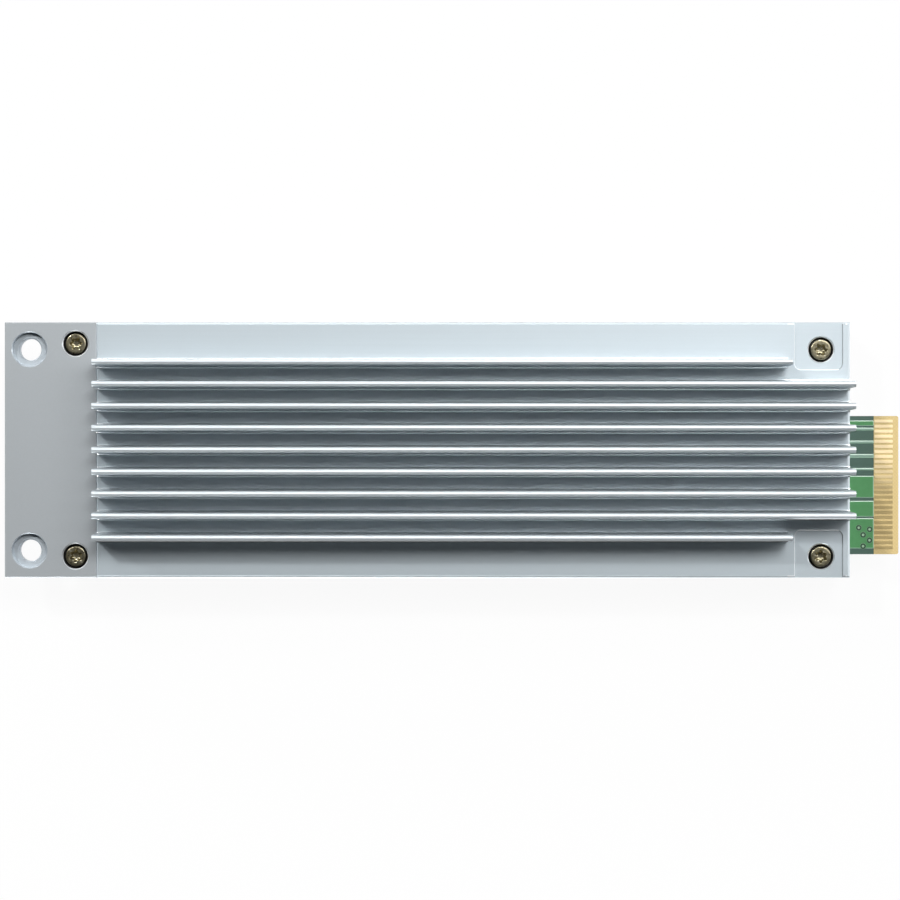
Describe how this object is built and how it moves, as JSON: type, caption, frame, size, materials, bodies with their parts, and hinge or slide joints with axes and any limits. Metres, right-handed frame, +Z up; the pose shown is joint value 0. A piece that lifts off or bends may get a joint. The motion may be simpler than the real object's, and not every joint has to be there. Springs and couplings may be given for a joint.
{
  "type": "ruler ssd module",
  "caption": "Long flat solid-state drive module with a finned metal heatsink cover, a grey front bracket for a latch and an offset card edge.",
  "frame": {"origin": "centre of the bounding box on the flat underside", "axes": "+X along the module from the front bracket to the card edge, +Z up through the fins"},
  "size_m": [0.1188, 0.0338, 0.015],
  "materials": {
    "cover_aluminium": "fine blasted and clear anodised, slightly blue silver",
    "base_aluminium": "fine blasted and clear anodised",
    "bracket_metal": "fine blasted, darker neutral grey",
    "screw_metal": "olive bronze passivated steel",
    "board_laminate": "green solder mask over glass laminate",
    "contact_gilding": "gold plated contact pads",
    "chip_moulding": "black moulding compound",
    "inductor_body": "pressed metal powder",
    "capacitor_case": "black moulded case",
    "capacitor_ceramic": "fired ceramic",
    "crystal_can": "drawn metal lid",
    "pad_elastomer": "soft filled silicone",
    "clear_plastic": "clear moulded plastic",
    "lamp_lens": "small surface lamp"
  },
  "bodies": {
    "root": {"base_shell": "base_aluminium", "circuit_board": "board_laminate", "clock_crystal": "crystal_can", "contacts_bottom": "contact_gilding", "contacts_top": "contact_gilding", "controller_chip": "chip_moulding", "cover_screws": "screw_metal", "firmware_chip": "chip_moulding", "flash_chip_bottom_1": "chip_moulding", "flash_chip_bottom_2": "chip_moulding", "flash_chip_bottom_3": "chip_moulding", "flash_chip_bottom_4": "chip_moulding", "flash_chip_top_1": "chip_moulding", "flash_chip_top_2": "chip_moulding", "flash_chip_top_3": "chip_moulding", "flash_chip_top_4": "chip_moulding", "front_bracket": "bracket_metal", "heatsink_cover": "cover_aluminium", "holdup_capacitor_1": "capacitor_case", "holdup_capacitor_2": "capacitor_case", "holdup_capacitor_3": "capacitor_case", "holdup_capacitor_4": "capacitor_case", "holdup_capacitor_5": "capacitor_case", "holdup_capacitor_6": "capacitor_case", "holdup_capacitor_7": "capacitor_case", "holdup_capacitor_8": "capacitor_case", "light_pipe": "clear_plastic", "memory_chip_lower": "chip_moulding", "memory_chip_upper": "chip_moulding", "power_chip": "chip_moulding", "power_inductor_1": "inductor_body", "power_inductor_2": "inductor_body", "power_inductor_3": "inductor_body", "small_capacitors": "capacitor_ceramic", "status_lamp_lower": "lamp_lens", "status_lamp_upper": "lamp_lens", "thermal_pad_bottom_1": "pad_elastomer", "thermal_pad_bottom_2": "pad_elastomer", "thermal_pad_controller": "pad_elastomer", "thermal_pad_top_1": "pad_elastomer", "thermal_pad_top_2": "pad_elastomer"}
  },
  "joints": []
}
